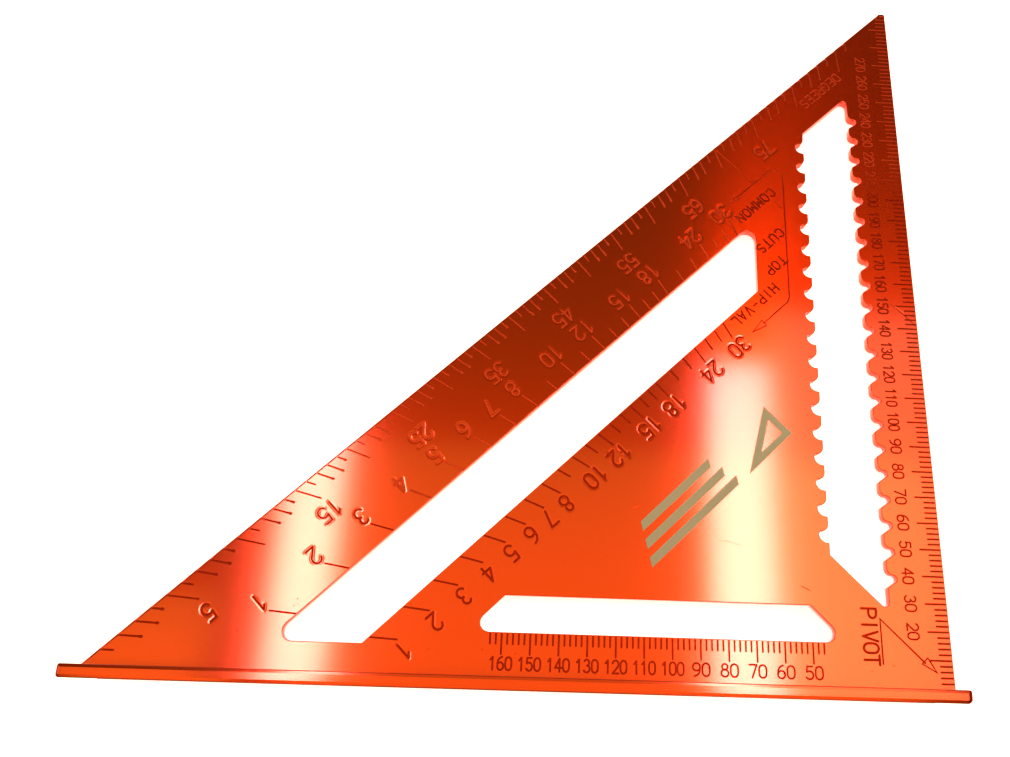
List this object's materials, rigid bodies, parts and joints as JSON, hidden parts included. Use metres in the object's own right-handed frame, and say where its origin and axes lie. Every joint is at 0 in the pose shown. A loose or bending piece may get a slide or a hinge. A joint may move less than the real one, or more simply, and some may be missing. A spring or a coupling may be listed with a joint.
{
  "type": "speed square",
  "caption": "Triangular rafter square: a slotted, notched blade with stamped degree, roof-pitch and metric scales, held in a T-shaped fence that hooks over a board's edge.",
  "frame": {"origin": "pivot corner: where the fence's bearing face meets the blade's right edge, on the blade's upper face", "axes": "+X along the fence, from the blade's sharp end to the pivot; +Y square to the fence's bearing face, across the blade; +Z out of the blade's upper face"},
  "size_m": [0.3032, 0.3039, 0.023],
  "materials": {
    "blade_anodised": "satin brushed, orange anodised",
    "fence_anodised": "satin brushed, orange anodised",
    "print_ink": "matt grey-tan pad print"
  },
  "bodies": {
    "root": {"blade": "blade_anodised", "fence": "fence_anodised", "printed_mark": "print_ink"}
  },
  "joints": []
}
